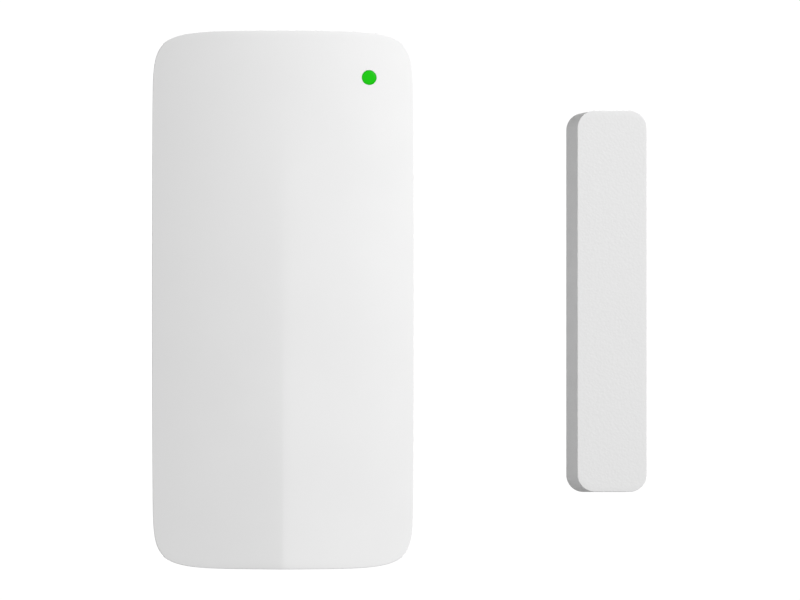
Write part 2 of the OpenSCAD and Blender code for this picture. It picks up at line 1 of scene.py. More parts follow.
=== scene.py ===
import bpy, bmesh, json
from math import copysign, cos, hypot, pi, radians, sin
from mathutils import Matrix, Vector


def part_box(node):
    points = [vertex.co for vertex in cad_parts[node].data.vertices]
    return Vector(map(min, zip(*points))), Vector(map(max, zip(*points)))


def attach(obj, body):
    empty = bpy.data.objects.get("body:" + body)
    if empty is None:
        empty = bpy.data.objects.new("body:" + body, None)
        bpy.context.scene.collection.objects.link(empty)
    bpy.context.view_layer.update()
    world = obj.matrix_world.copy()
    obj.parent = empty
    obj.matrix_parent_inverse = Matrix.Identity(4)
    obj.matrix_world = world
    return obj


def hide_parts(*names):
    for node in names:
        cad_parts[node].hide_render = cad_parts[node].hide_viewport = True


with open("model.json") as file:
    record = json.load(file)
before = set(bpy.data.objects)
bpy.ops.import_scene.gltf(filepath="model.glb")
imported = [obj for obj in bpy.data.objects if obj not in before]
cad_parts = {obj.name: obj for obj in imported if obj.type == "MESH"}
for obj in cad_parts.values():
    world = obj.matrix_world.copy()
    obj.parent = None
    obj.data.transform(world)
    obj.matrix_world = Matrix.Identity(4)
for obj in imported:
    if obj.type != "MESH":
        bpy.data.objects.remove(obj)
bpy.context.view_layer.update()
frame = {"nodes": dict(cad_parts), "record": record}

# Lengths below are millimetres in the unit's plan: x across, y up the wall, z off the wall.
MM = 0.001
ACROSS, UP, OUT = (1, 0, 0), (0, 1, 0), (0, 0, 1)
SHARP = 35  # degrees; edges sharper than this are shaded sharp
CAP_INSET = 0.03  # share of the way to the middle of a cap


def stand(p):
    """A plan point as a scene point in metres: the wall is y = 0 and the front faces -Y."""
    return Vector((p[0] * MM, -p[2] * MM, p[1] * MM))


def plan_box(lows, highs):
    """Lowest and highest plan corner of what lies between corners given in scene metres."""
    low = [min(c[k] for c in lows) / MM for k in range(3)]
    high = [max(c[k] for c in highs) / MM for k in range(3)]
    return Vector((low[0], low[2], -high[1])), Vector((high[0], high[2], -low[1]))


def extent(*nodes):
    """Lowest and highest plan corner of one or more CAD nodes."""
    return plan_box(*zip(*(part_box(n) for n in nodes)))


def middle(box):
    return (box[0] + box[1]) / 2


def spot(node):
    """Lowest and highest corner and middle of a CAD node."""
    low, high = extent(node)
    return low, high, (low + high) / 2


def inside(low, high, inset, z0, z1):
    """Corners of the box between two heights, inset all round in plan."""
    return (low[0] + inset, low[1] + inset, z0), (high[0] - inset, high[1] - inset, z1)


# ------------ mesh helpers


def new_piece(name, points, faces, sharp=SHARP):
    """An object from plan points, smooth except along edges sharper than the angle in degrees."""
    mesh = bpy.data.meshes.new(name)
    mesh.from_pydata([stand(p) for p in points], [], faces)
    mesh.validate()
    return finished(name, mesh, sharp)


def shade(mesh, sharp):
    mesh.shade_smooth()
    mesh.set_sharp_from_angle(angle=radians(sharp))


def linked(name, data):
    """A new object of the scene with this mesh, light or camera."""
    made = bpy.data.objects.new(name, data)
    bpy.context.scene.collection.objects.link(made)
    return made


def finished(name, mesh, sharp=SHARP):
    """An object from a mesh, its faces turned outwards."""
    made = bmesh.new()
    made.from_mesh(mesh)
    bmesh.ops.recalc_face_normals(made, faces=made.faces)
    made.to_mesh(mesh)
    made.free()
    shade(mesh, sharp)
    return linked(name, mesh)


def combine(piece, others, operation="DIFFERENCE"):
    """Boolean of a piece with several others, which are used up."""
    for other in others:
        step = piece.modifiers.new("cut", "BOOLEAN")
        step.operation = operation
        step.solver = "EXACT"
        step.object = other
    graph = bpy.context.evaluated_depsgraph_get()
    mesh = bpy.data.meshes.new_from_object(piece.evaluated_get(graph))
    piece.modifiers.clear()
    old = piece.data
    piece.data = mesh
    mesh.name = piece.name
    bpy.data.meshes.remove(old)
    for other in others:
        bpy.data.objects.remove(other)
    shade(mesh, SHARP)
    return piece


def turned(name, axis_point, axis, profile, turns=64, sharp=SHARP, ring=False):
    """A solid of revolution: profile is (radius, distance along the axis) from end to end.
    A ring's profile closes on itself."""
    along = Vector(axis).normalized()
    across = along.orthogonal().normalized()
    other = along.cross(across)
    points, rings = [], []
    for radius, reach in profile:
        if radius == 0:
            rings.append([len(points)])
            points.append(Vector(axis_point) + along * reach)
            continue
        rings.append(list(range(len(points), len(points) + turns)))
        for k in range(turns):
            angle = 2 * pi * k / turns
            points.append(Vector(axis_point) + along * reach
                          + (across * cos(angle) + other * sin(angle)) * radius)
    faces = []
    for a, b in zip(rings, rings[1:] + (rings[:1] if ring else [])):
        for k in range(turns):
            m = (k + 1) % turns
            faces.append(list(dict.fromkeys(
                (a[k % len(a)], a[m % len(a)], b[m % len(b)], b[k % len(b)]))))
    return new_piece(name, points, [f for f in faces if len(f) > 2], sharp)


def rod(name, axis_point, axis, radius, length, turns=48):
    return turned(name, axis_point, axis, [(0, 0), (radius, 0), (radius, length), (0, length)], turns)


def block(name, low, high):
    points = [(x, y, z) for x in (low[0], high[0]) for y in (low[1], high[1]) for z in (low[2], high[2])]
    faces = [(0, 1, 3, 2), (4, 6, 7, 5), (0, 4, 5, 1), (2, 3, 7, 6), (0, 2, 6, 4), (1, 5, 7, 3)]
    return new_piece(name, points, faces)


def merged(name, pieces, sharp=SHARP):
    """One object from several that don't touch or only rest on each other."""
    made = bmesh.new()
    for piece in pieces:
        made.from_mesh(piece.data)
        old = piece.data
        bpy.data.objects.remove(piece)
        bpy.data.meshes.remove(old)
    mesh = bpy.data.meshes.new(name)
    made.to_mesh(mesh)
    made.free()
    return finished(name, mesh, sharp)


def heading(path, n):
    """Direction of a path at its point n."""
    return (path[min(n + 1, len(path) - 1)] - path[max(n - 1, 0)]).normalized()


def hose_faces(size, count):
    """Quads between count rings of size points each, and the caps of the first and last ring."""
    quads = [(n * size + k, n * size + (k + 1) % size, (n + 1) * size + (k + 1) % size, (n + 1) * size + k)
             for n in range(count - 1) for k in range(size)]
    return quads, [tuple(range(size)), tuple(range((count - 1) * size, count * size))]


def wire(name, path, radius, sides=12):
    """Round wire along plan points."""
    points = []
    path = [Vector(p) for p in path]
    across = None
    for n, at in enumerate(path):
        along = heading(path, n)
        across = along.orthogonal() if across is None else across - along * across.dot(along)
        across.normalize()
        other = along.cross(across)
        for k in range(sides):
            angle = 2 * pi * k / sides
            points.append(at + (across * cos(angle) + other * sin(angle)) * radius)
    quads, caps = hose_faces(sides, len(path))
    return new_piece(name, points, quads + caps, 60)


def ribbon(name, path, across, width, thick):
    """Flat strip along plan points, with its width along across."""
    path = [Vector(p) for p in path]
    across = Vector(across).normalized()
    points = []
    for n, at in enumerate(path):
        up = heading(path, n).cross(across).normalized()
        for a, b in ((1, 1), (-1, 1), (-1, -1), (1, -1)):
            points.append(at + across * (a * width / 2) + up * (b * thick / 2))
    quads, caps = hose_faces(4, len(path))
    return new_piece(name, points, quads + caps)


def quarter(steps):
    """Angles from 0 to 90 degrees."""
    return [pi / 2 * k / steps for k in range(steps + 1)]


def rounded_ring(centre, half, corner, z, steps=8):
    """Points round a rounded rectangle in plan, anticlockwise."""
    points = []
    for k, (sx, sy) in enumerate(((1, 1), (-1, 1), (-1, -1), (1, -1))):
        for m in range(steps + 1):
            angle = pi / 2 * (k + m / steps)
            points.append((centre[0] + sx * (half[0] - corner) + corner * cos(angle),
                           centre[1] + sy * (half[1] - corner) + corner * sin(angle), z))
    return points


def cap_loop(ring):
    """The same ring a little further in, so that the cap inside it is shaded flat."""
    centre = sum((Vector(p) for p in ring), Vector()) / len(ring)
    return [Vector(p).lerp(centre, CAP_INSET) for p in ring]


def lofted(name, rings, sharp=SHARP):
    """Closed solid through rings with the same number of points, capped at both ends."""
    rings = [cap_loop(rings[0]), *rings, cap_loop(rings[-1])]
    quads, caps = hose_faces(len(rings[0]), len(rings))
    return new_piece(name, [p for r in rings for p in r], caps + quads, sharp)


def soft_block(name, low, high, corner, edge, steps=4, under=0.0):
    """Rounded block in plan with a rounded top edge and, if under is given, a rounded lower one."""
    centre = ((low[0] + high[0]) / 2, (low[1] + high[1]) / 2)
    half = ((high[0] - low[0]) / 2, (high[1] - low[1]) / 2)
    arc = quarter(steps)
    levels = [(under * (1 - cos(a)), low[2] + under * (1 - sin(a))) for a in reversed(arc)]
    levels = levels if under else [(0, low[2])]
    levels += [(edge * (1 - cos(a)), high[2] - edge * (1 - sin(a))) for a in arc]
    return lofted(name, [rounded_ring(centre, (half[0] - d, half[1] - d), corner - d, z)
                         for d, z in levels])


def islands(node):
    """Lowest and highest plan corner of each separate solid of a CAD node, from left to right."""
    made = bmesh.new()
    made.from_mesh(frame["nodes"][node].data)
    bmesh.ops.remove_doubles(made, verts=made.verts, dist=1e-7)
    seen, found = set(), []
    for start in made.verts:
        if start in seen:
            continue
        seen.add(start)
        stack, group = [start], []
        while stack:
            v = stack.pop()
            group.append(v.co.copy())
            for edge in v.link_edges:
                other = edge.other_vert(v)
                if other not in seen:
                    seen.add(other)
                    stack.append(other)
        found.append(plan_box(group, group))
    made.free()
    return sorted(found, key=lambda box: (round(box[0].x, 2), round(box[0].y, 2)))


def placed(piece, body, slot, *nodes, material=None):
    """Rides a body, takes a slot's finish and stands for CAD nodes."""
    piece.data.materials.clear()
    piece.data.materials.append(material or PAINTS[slot])
    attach(piece, body)
    if nodes:
        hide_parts(*nodes)
    return piece


def on_wall(piece, slot, *nodes, material=None):
    return placed(piece, "wall_unit", slot, *nodes, material=material)


# ------------ materials


def set_inputs(node, values):
    for socket, value in values.items():
        node.inputs[socket].default_value = value


class Surface:
    """A Principled material with its texture nodes in real-scale object coordinates."""

    def __init__(self, name, rough, metallic=0.0, specular=0.5):
        self.material = bpy.data.materials.new(name)
        self.material.use_nodes = True
        self.nodes = self.material.node_tree.nodes
        self.links = self.material.node_tree.links
        self.shader = self.nodes["Principled BSDF"]
        set_inputs(self.shader, {"Roughness": rough, "Metallic": metallic, "Specular IOR Level": specular})
        self.place = self.nodes.new("ShaderNodeTexCoord").outputs["Object"]
        self.bumped = None

    def node(self, kind, *sources, operation=None):
        """A new node with its first inputs linked, and with its operation if it has one."""
        made = self.nodes.new("ShaderNode" + kind)
        if operation:
            made.operation = operation
        for n, source in enumerate(sources):
            self.links.new(source, made.inputs[n])
        return made

    def texture(self, kind, size_mm, stretch=(1, 1, 1)):
        """A texture node whose features are about size_mm across."""
        fit = self.node("Mapping", self.place)
        set_inputs(fit, {"Scale": [s / (size_mm * MM) for s in stretch]})
        texture = self.node(kind, fit.outputs["Vector"])
        texture.inputs["Scale"].default_value = 1.0
        return texture

    def noise(self, size_mm, detail=3.0, stretch=(1, 1, 1)):
        """Noise whose features are about size_mm across."""
        texture = self.texture("TexNoise", size_mm, stretch)
        texture.inputs["Detail"].default_value = detail
        return texture.outputs["Fac"]

    def pebbles(self, size_mm):
        """Rounded cells about size_mm across, as spark erosion leaves on a mould."""
        texture = self.texture("TexVoronoi", size_mm)
        texture.feature = "SMOOTH_F1"
        texture.inputs["Smoothness"].default_value = 0.6
        return texture.outputs["Distance"]

    def spread(self, source, low, high, start=0.3, end=0.7):
        """Numbers from low to high as the source goes from start to end."""
        ramp = self.node("MapRange", source)
        set_inputs(ramp, {"From Min": start, "From Max": end, "To Min": low, "To Max": high})
        return ramp.outputs["Result"]

    def tint(self, source, first, second, start=0.3, end=0.7):
        """Base colour between two colours as the source goes from start to end."""
        ramp = self.node("ValToRGB", source)
        ramp.color_ramp.elements[0].position = start
        ramp.color_ramp.elements[1].position = end
        ramp.color_ramp.elements[0].color = (*first, 1)
        ramp.color_ramp.elements[1].color = (*second, 1)
        self.links.new(ramp.outputs["Color"], self.shader.inputs["Base Color"])
        return self

    def gloss(self, source, low, high):
        self.links.new(self.spread(source, low, high), self.shader.inputs["Roughness"])
        return self

    def bump(self, source, height_mm):
        node = self.node("Bump")
        set_inputs(node, {"Distance": height_mm * MM, "Strength": 1.0})
        self.links.new(source, node.inputs["Height"])
        if self.bumped:
            self.links.new(self.bumped, node.inputs["Normal"])
        self.bumped = node.outputs["Normal"]
        self.links.new(self.bumped, self.shader.inputs["Normal"])
        return self


def grey(level):
    return (level, level, level)


def cover_plastic():
    """Satin white moulding: almost even, with a faint cloudiness and a very fine skin."""
    s = Surface("cover_plastic", 0.42, specular=0.35)
    cloud = s.noise(14, 2)
    skin = s.noise(0.12, 2)
    s.tint(cloud, grey(0.885), grey(0.9))
    s.gloss(cloud, 0.40, 0.46)
    return s.bump(skin, 0.0006).material


def grained_plastic():
    """White moulding with a spark-eroded grain of shallow pebbles."""
    s = Surface("grained_plastic", 0.55, specular=0.3)
    pebbles = s.pebbles(0.42)
    s.tint(s.noise(0.5, 3), grey(0.825), grey(0.845))
    s.gloss(s.noise(0.8, 2), 0.5, 0.6)
    s.bump(pebbles, 0.014)
    return s.bump(s.noise(0.25, 3), 0.006).material


def light_plastic():
    """Green light guide, lit from behind, a little darker towards its rim."""
    s = Surface("light_plastic", 0.35, specular=0.12)
    set_inputs(s.shader, {"Base Color": (0.003, 0.15, 0.002, 1), "Emission Color": (0.0085, 0.425, 0.003, 1)})
    centred = s.node("VectorMath", s.place, operation="SUBTRACT")
    centred.inputs[1].default_value = (LIGHT_X * MM, 0, LIGHT_Y * MM)
    flat = s.node("VectorMath", centred.outputs["Vector"], operation="MULTIPLY")
    flat.inputs[1].default_value = (1, 0, 1)
    reach = s.node("VectorMath", flat.outputs["Vector"], operation="LENGTH")
    glow = s.spread(reach.outputs["Value"], 1.0, 0.68, LIGHT_R * 0.84 * MM, LIGHT_R * MM)
    s.links.new(glow, s.shader.inputs["Emission Strength"])
    return s.bump(s.noise(0.3, 2), 0.002).material


def moulded(name, color, rough, height_mm=0.004, skin_mm=0.2):
    """Moulded resin with faint cloudiness and the fine skin of its mould."""
    s = Surface(name, rough, specular=0.4)
    cloud = s.noise(6, 2)
    s.tint(cloud, [c * 0.95 for c in color], color)
    s.gloss(cloud, rough - 0.05, rough + 0.06)
    return s.bump(s.noise(skin_mm, 3), height_mm).material


def metal(name, color, rough, brush=(1, 1, 1), height_mm=0.003):
    """Plated metal with faint handling marks along one direction."""
    s = Surface(name, rough, metallic=1.0)
    marks = s.noise(0.5, 4, brush)
    s.tint(s.noise(3, 3), [c * 0.86 for c in color], color)
    s.gloss(marks, rough - 0.06, rough + 0.12)
    return s.bump(marks, height_mm).material


def foam_tape():
    """White closed-cell foam under a matt adhesive film."""
    s = Surface("foam_tape", 0.8, specular=0.25)
    cells = s.pebbles(0.3)
    s.tint(s.noise(2, 3), (0.66, 0.66, 0.64), (0.76, 0.76, 0.74))
    return s.bump(cells, 0.03).material


def laminate(name, mask):
    """Solder mask over woven glass fibre, which is bare at the cut edges."""
    s = Surface(name, 0.3, specular=0.5)
    faces = s.node("SeparateXYZ", s.node("TexCoord").outputs["Normal"])
    flat = s.node("Math", faces.outputs["Y"], operation="ABSOLUTE")
    cloud = s.node("Mix")
    cloud.data_type = "RGBA"
    set_inputs(cloud, {6: (*[c * 0.8 for c in mask], 1), 7: (*mask, 1)})
    s.links.new(s.spread(s.noise(5, 3), 0, 1), cloud.inputs[0])
    edge = s.node("Mix")
    edge.data_type = "RGBA"
    edge.inputs[6].default_value = (0.42, 0.36, 0.20, 1)
    s.links.new(s.spread(flat.outputs["Value"], 0, 1, 0.45, 0.55), edge.inputs[0])
    s.links.new(cloud.outputs[2], edge.inputs[7])
    s.links.new(edge.outputs[2], s.shader.inputs["Base Color"])
    s.gloss(s.noise(1.5, 2), 0.25, 0.38)
    s.bump(s.noise(0.5, 1, (1, 1, 0.12)), 0.006)
    return s.bump(s.noise(0.5, 1, (0.12, 1, 1)), 0.006).material


def reed_glass():
    """Thin clear glass with a green tint."""
    s = Surface("reed_glass", 0.06, specular=0.6)
    set_inputs(s.shader, {"Base Color": (0.72, 0.90, 0.82, 1), "Alpha": 0.32})
    return s.bump(s.noise(1.2, 2), 0.004).material


def led_package():
    """Warm white moulding round a lens."""
    s = Surface("led_package", 0.25, specular=0.5)
    s.tint(s.noise(0.3, 2), (0.80, 0.82, 0.66), (0.90, 0.92, 0.80))
    return s.bump(s.noise(0.1, 2), 0.002).material


def cell_wrap(band_low, band_high, name):
    """Plain shrink sleeve, slate blue with a lighter band near the cell's positive end."""
    s = Surface(name, 0.24, specular=0.55)
    across = s.node("SeparateXYZ", s.place)
    step = 0.1 * MM
    above = s.spread(across.outputs["Z"], 0, 1, band_low * MM - step, band_low * MM + step)
    below = s.spread(across.outputs["Z"], 1, 0, band_high * MM - step, band_high * MM + step)
    band = s.node("Math", above, below, operation="MULTIPLY")
    s.tint(band.outputs["Value"], (0.055, 0.10, 0.15), (0.46, 0.52, 0.54), 0.45, 0.55)
    s.gloss(s.noise(4, 3), 0.18, 0.32)
    return s.bump(s.noise(9, 2, (1, 1, 0.2)), 0.02).material


# Colour, roughness, height of the skin and size of its features.
MOULDED = {
    "plate_plastic": ((0.70, 0.70, 0.69), 0.5, 0.006),
    "board_track": ((0.016, 0.19, 0.065), 0.3, 0.003),
    "module_track": ((0.02, 0.05, 0.22), 0.3, 0.003),
    "chip_resin": ((0.022, 0.022, 0.025), 0.45, 0.01, 0.08),
    "chip_ceramic": ((0.03, 0.028, 0.026), 0.4, 0.006, 0.05),
    "switch_plastic": ((0.02, 0.02, 0.022), 0.4),
    "key_plastic": ((0.76, 0.73, 0.62), 0.3),
}
# Colour, roughness and the stretch of the handling marks.
METALS = {
    "screw_steel": ((0.60, 0.60, 0.61), 0.3),
    "tinned_steel": ((0.72, 0.72, 0.71), 0.28),
    "contact_steel": ((0.72, 0.71, 0.67), 0.25, (1, 1, 0.1)),
    "spring_steel": ((0.68, 0.68, 0.66), 0.22),
    "copper_alloy": ((0.78, 0.44, 0.22), 0.25),
    "reed_alloy": ((0.76, 0.68, 0.48), 0.2),
    "capacitor_can": ((0.70, 0.70, 0.71), 0.32),
    "magnet_plating": ((0.66, 0.66, 0.67), 0.18, (1, 1, 0.2)),
}


def paints():
    """One finish for each material slot of the record that CAD nodes and pieces share."""
    made = {name: moulded(name, *look) for name, look in MOULDED.items()}
    made.update((name, metal(name, *look)) for name, look in METALS.items())
    made["board_laminate"] = laminate("board_laminate", (0.008, 0.10, 0.035))
    made["module_laminate"] = laminate("module_laminate", (0.008, 0.02, 0.11))
    for finish in (cover_plastic, grained_plastic, light_plastic, foam_tape, reed_glass, led_package):
        made[finish.__name__] = finish()
    return made


# ------------ camera, light and floor

PHOTO_W = 800
SENSOR_MM = 36
CAMERA_Y = -9.1
SHIFT_X, SHIFT_Y = 0.1462, 0.0659
PIXELS_PER_MM = 5.7614  # across the sensor unit's outline, in the photo's frame
OUTLINE_Z = 18.5
MAGNET_CAMERA_MM = 412  # from the magnet unit's front to the camera
AMBIENT, SEEN_WHITE = 0.345, 1.05
LIT_CENTRE = (0.02, -0.01, 0)  # in metres, as the lights' places are
KEY_AT, KEY_SIZE, KEY_POWER = (0.77, -0.56, 0.53), 0.5, 11.0
FILL_AT, FILL_SIZE, FILL_POWER = (-0.45, -1.4, 0.1), 0.8, 1.9
FLOOR_REACH, FLOOR_LEVEL = 2.0, -0.45


def add_camera():
    """Looks straight at the wall, in front of the sensor unit; the shift frames both units."""
    magnet_front = extent("magnet_cover")[1].z
    away = MAGNET_CAMERA_MM + magnet_front
    focal_px = PIXELS_PER_MM * (away - OUTLINE_Z)
    data = bpy.data.cameras.new("camera")
    data.sensor_width = SENSOR_MM
    data.lens = focal_px / PHOTO_W * SENSOR_MM
    data.shift_x = SHIFT_X
    data.shift_y = SHIFT_Y
    camera = linked("camera", data)
    camera.location = stand((0, CAMERA_Y, away))
    camera.rotation_euler = (radians(90), 0, 0)
    bpy.context.scene.camera = camera


def area_light(name, at, size, power):
    data = bpy.data.lights.new(name, "AREA")
    data.shape = "DISK"
    data.size = size
    data.energy = power
    lamp = linked(name, data)
    lamp.location = at
    lamp.rotation_euler = (Vector(LIT_CENTRE) - Vector(at)).to_track_quat("-Z", "Y").to_euler()


def add_world():
    """Even white surroundings that light the object softly and are seen as pure white."""
    world = bpy.data.worlds.new("studio")
    world.use_nodes = True
    nodes, links = world.node_tree.nodes, world.node_tree.links
    around = nodes["Background"]
    set_inputs(around, {"Strength": AMBIENT, "Color": (1, 1, 1, 1)})
    seen = nodes.new("ShaderNodeBackground")
    set_inputs(seen, {"Strength": SEEN_WHITE, "Color": (1, 1, 1, 1)})
    path = nodes.new("ShaderNodeLightPath")
    mix = nodes.new("ShaderNodeMixShader")
    links.new(path.outputs["Is Camera Ray"], mix.inputs["Fac"])
    links.new(around.outputs["Background"], mix.inputs[1])
    links.new(seen.outputs["Background"], mix.inputs[2])
    links.new(mix.outputs["Shader"], nodes["World Output"].inputs["Surface"])
    bpy.context.scene.world = world


def add_floor():
    """Plain white floor, well below the units, bright enough to fade into the surroundings."""
    mesh = bpy.data.meshes.new("floor")
    mesh.from_pydata([(x * FLOOR_REACH, y * FLOOR_REACH, FLOOR_LEVEL)
                      for x, y in ((-1, -1), (1, -1), (1, 1), (-1, 1))], [], [(0, 1, 2, 3)])
    floor = linked("floor", mesh)
    paint = bpy.data.materials.new("floor_paint")
    paint.use_nodes = True
    set_inputs(paint.node_tree.nodes["Principled BSDF"],
               {"Base Color": (0.8, 0.8, 0.8, 1), "Roughness": 0.9, "Specular IOR Level": 0.0,
                "Emission Color": (1, 1, 1, 1), "Emission Strength": 0.8})
    mesh.materials.append(paint)
    floor.visible_diffuse = False
    floor.visible_glossy = False


def add_studio():
    bpy.context.scene.view_settings.view_transform = "Standard"
    add_world()
    area_light("key", KEY_AT, KEY_SIZE, KEY_POWER)
    area_light("fill", FILL_AT, FILL_SIZE, FILL_POWER)
    add_floor()


# ------------ sensor unit's front cover

cover_low, cover_high = extent("front_cover")
HALF_W = (cover_high.x - cover_low.x) / 2
HALF_H = (cover_high.y - cover_low.y) / 2
CREST = cover_high.z
WALL, FACE = 1.7, 1.8
RIM_Z, RIM_CHAMFER = 0.5, 0.4
EDGE_ROUND = 0.12
SIDE_POWER, END_POWER, SIDE_BOW = 5.5, 21, 0.18
EDGE_SLOPE, RIDGE_SHARE, FACET_SHARE = 0.213, 0.4, 0.75
RIDGE_START, RIDGE_ROUND = 41, 0.5
CORNER_Y = 0.953 * HALF_H
GRID, ROUND_STEPS = 44, 5


def side_at(y):
    reach = HALF_W - SIDE_BOW * (y / HALF_H) ** 2
    return reach * (1 - (abs(y) / HALF_H) ** END_POWER) ** (1 / SIDE_POWER)


def end_at(x):
    return HALF_H * (1 - (abs(x) / HALF_W) ** SIDE_POWER) ** (1 / END_POWER)


def face_z(x, y):
    """Height of the face: an arch at the top that turns into two facets and a ridge."""
    growth = max(0, min(1, (RIDGE_START - y) / (RIDGE_START + HALF_H)))
    soft = hypot(x, RIDGE_ROUND) - RIDGE_ROUND
    arch = EDGE_SLOPE * x * x / (2 * HALF_W)
    facet = EDGE_SLOPE * (RIDGE_SHARE * soft + (FACET_SHARE - RIDGE_SHARE) * x * x / (2 * HALF_W))
    return CREST - (1 - growth) * arch - growth * facet


def outline_at(u, v):
    """Outline point in a direction of the square grid, closer together at ridge and corners."""
    if abs(u) >= abs(v):
        y = CORNER_Y * sin(pi / 2 * v)
        return copysign(side_at(y), u), y
    t = abs(u)
    x = copysign(side_at(CORNER_Y) * t * t * (3 - 2 * t), u)
    return x, copysign(end_at(x), v)


def grid_point(i, j, inset):
    ring = max(abs(i), abs(j))
    if ring == 0:
        return 0.0, 0.0
    x, y = outline_at(i / ring, j / ring)
    share = ring / GRID
    return share * x * (HALF_W - inset) / HALF_W, share * y * (HALF_H - inset) / HALF_H


def ring_cells():
    """Cells round the edge of the grid, anticlockwise from the lower right corner."""
    span = range(-GRID, GRID)
    return ([(GRID, m) for m in span] + [(-m, GRID) for m in span]
            + [(-GRID, -m) for m in span] + [(m, -GRID) for m in span])


def cover_shell(name):
    points, faces = [], []
    cells = ring_cells()

    def skin(inset, drop):
        first = len(points)
        for j in range(-GRID, GRID + 1):
            for i in range(-GRID, GRID + 1):
                x, y = grid_point(i, j, inset)
                points.append((x, y, face_z(x, y) - drop))
        side = 2 * GRID + 1
        for j in range(2 * GRID):
            for i in range(2 * GRID):
                a = first + j * side + i
                faces.append((a, a + 1, a + side + 1, a + side))
        return [first + (j + GRID) * side + i + GRID for i, j in cells]

    def ring(inset, height):
        first = len(points)
        for i, j in cells:
            x, y = grid_point(i, j, inset)
            points.append((x, y, height(i, j)))
        return list(range(first, len(points)))

    def band(a, b):
        for k in range(len(a)):
            m = (k + 1) % len(a)
            faces.append((a[k], a[m], b[m], b[k]))

    def round_height(angle):
        def height(i, j):
            x, y = grid_point(i, j, EDGE_ROUND)
            return face_z(x, y) - EDGE_ROUND * (1 - sin(angle))
        return height

    outer = skin(EDGE_ROUND, 0)
    inner = skin(WALL, FACE)
    rings = [ring(RIM_CHAMFER, lambda i, j: RIM_Z),
             ring(RIM_CHAMFER / 3, lambda i, j: RIM_Z + RIM_CHAMFER / 3),
             ring(0, lambda i, j: RIM_Z + RIM_CHAMFER)]
    for k in range(ROUND_STEPS):
        angle = pi / 2 * k / ROUND_STEPS
        rings.append(ring(EDGE_ROUND * (1 - cos(angle)), round_height(angle)))
    rings.append(outer)
    for a, b in zip(rings, rings[1:]):
        band(a, b)
    rim = ring(WALL, lambda i, j: RIM_Z)
    band(inner, rim)
    band(rim, rings[0])
    return new_piece(name, points, faces)


HINGE_Y, HINGE_Z = HALF_H - 1.5, 1.55
KNUCKLE_R, BORE_R, HINGE_X = 1.25, 0.75, 9
LUG_HALF, LUG_GAP, KNUCKLE_W, PIN_HALF = 0.65, 0.2, 1.65, 2.3
SLOT_BACK, SLOT_RISE, SLIT_HALF = 2, 1.75, 0.5
LIGHT_X, LIGHT_Y, LIGHT_R = 14.9, 38.5, 1.25
SOCKET_R, SOCKET_LOW, COLLAR_R = 2.7, 14.5, 1.7
TAMPER_AT, TAMPER_TIP, TAMPER_POST_R = (-14.8, 28.5), 11.1, 1.3
RIB_X, RIB_HALF, RIB_YS, RIB_DROPS = -3.3, 0.6, (-34, 4), (5.8, 1.6)
WINDOW_HALF, WINDOW_Z = 3.5, (3, 4.8)
LIGHT_FIT, OVER, FAR = 0.05, 1, 60


def knuckle(side, k):
    centre = side * HINGE_X + k * (LUG_HALF + LUG_GAP + KNUCKLE_W / 2)
    return rod("knuckle", (centre - KNUCKLE_W / 2, HINGE_Y, HINGE_Z), ACROSS, KNUCKLE_R, KNUCKLE_W)


def hinge_cuts(side):
    x = side * HINGE_X
    half = PIN_HALF + LUG_GAP
    slot_half = LUG_HALF + LUG_GAP
    return [block("slot", (x - slot_half, HINGE_Y - SLOT_BACK, -OVER),
                  (x + slot_half, HALF_H + OVER, HINGE_Z + SLOT_RISE)),
            rod("bore", (x - half, HINGE_Y, HINGE_Z), ACROSS, BORE_R, 2 * half),
            block("slit", (x - half, HINGE_Y - SLIT_HALF, -OVER), (x + half, HINGE_Y + SLIT_HALF, HINGE_Z))]


def front_cover():
    light_z = face_z(LIGHT_X, LIGHT_Y)
    cover = cover_shell("front_cover_shell")
    added = [knuckle(side, k) for side in (-1, 1) for k in (-1, 1)]
    added.append(rod("socket", (LIGHT_X, LIGHT_Y, SOCKET_LOW), OUT, SOCKET_R,
                     light_z - FACE / 2 - SOCKET_LOW))
    added.append(rod("post", (*TAMPER_AT, TAMPER_TIP), OUT, TAMPER_POST_R,
                     face_z(*TAMPER_AT) - FACE / 2 - TAMPER_TIP))
    added.append(block("rib", (RIB_X - RIB_HALF, RIB_YS[0], CREST - RIB_DROPS[0]),
                       (RIB_X + RIB_HALF, RIB_YS[1], CREST - RIB_DROPS[1])))
    combine(cover, added, "UNION")
    cuts = hinge_cuts(-1) + hinge_cuts(1)
    below = (LIGHT_X, LIGHT_Y, SOCKET_LOW - OVER)
    cuts.append(rod("light_hole", below, OUT, LIGHT_R + LIGHT_FIT, FAR, 72))
    cuts.append(rod("collar_hole", below, OUT, COLLAR_R, light_z - FACE + 1.15 - SOCKET_LOW, 72))
    cuts.append(block("window", (-WINDOW_HALF, -HALF_H - OVER, WINDOW_Z[0]),
                      (WINDOW_HALF, -HALF_H + WALL + OVER, WINDOW_Z[1])))
    combine(cover, cuts)
    return placed(cover, "cover_body", "cover_plastic", "front_cover")


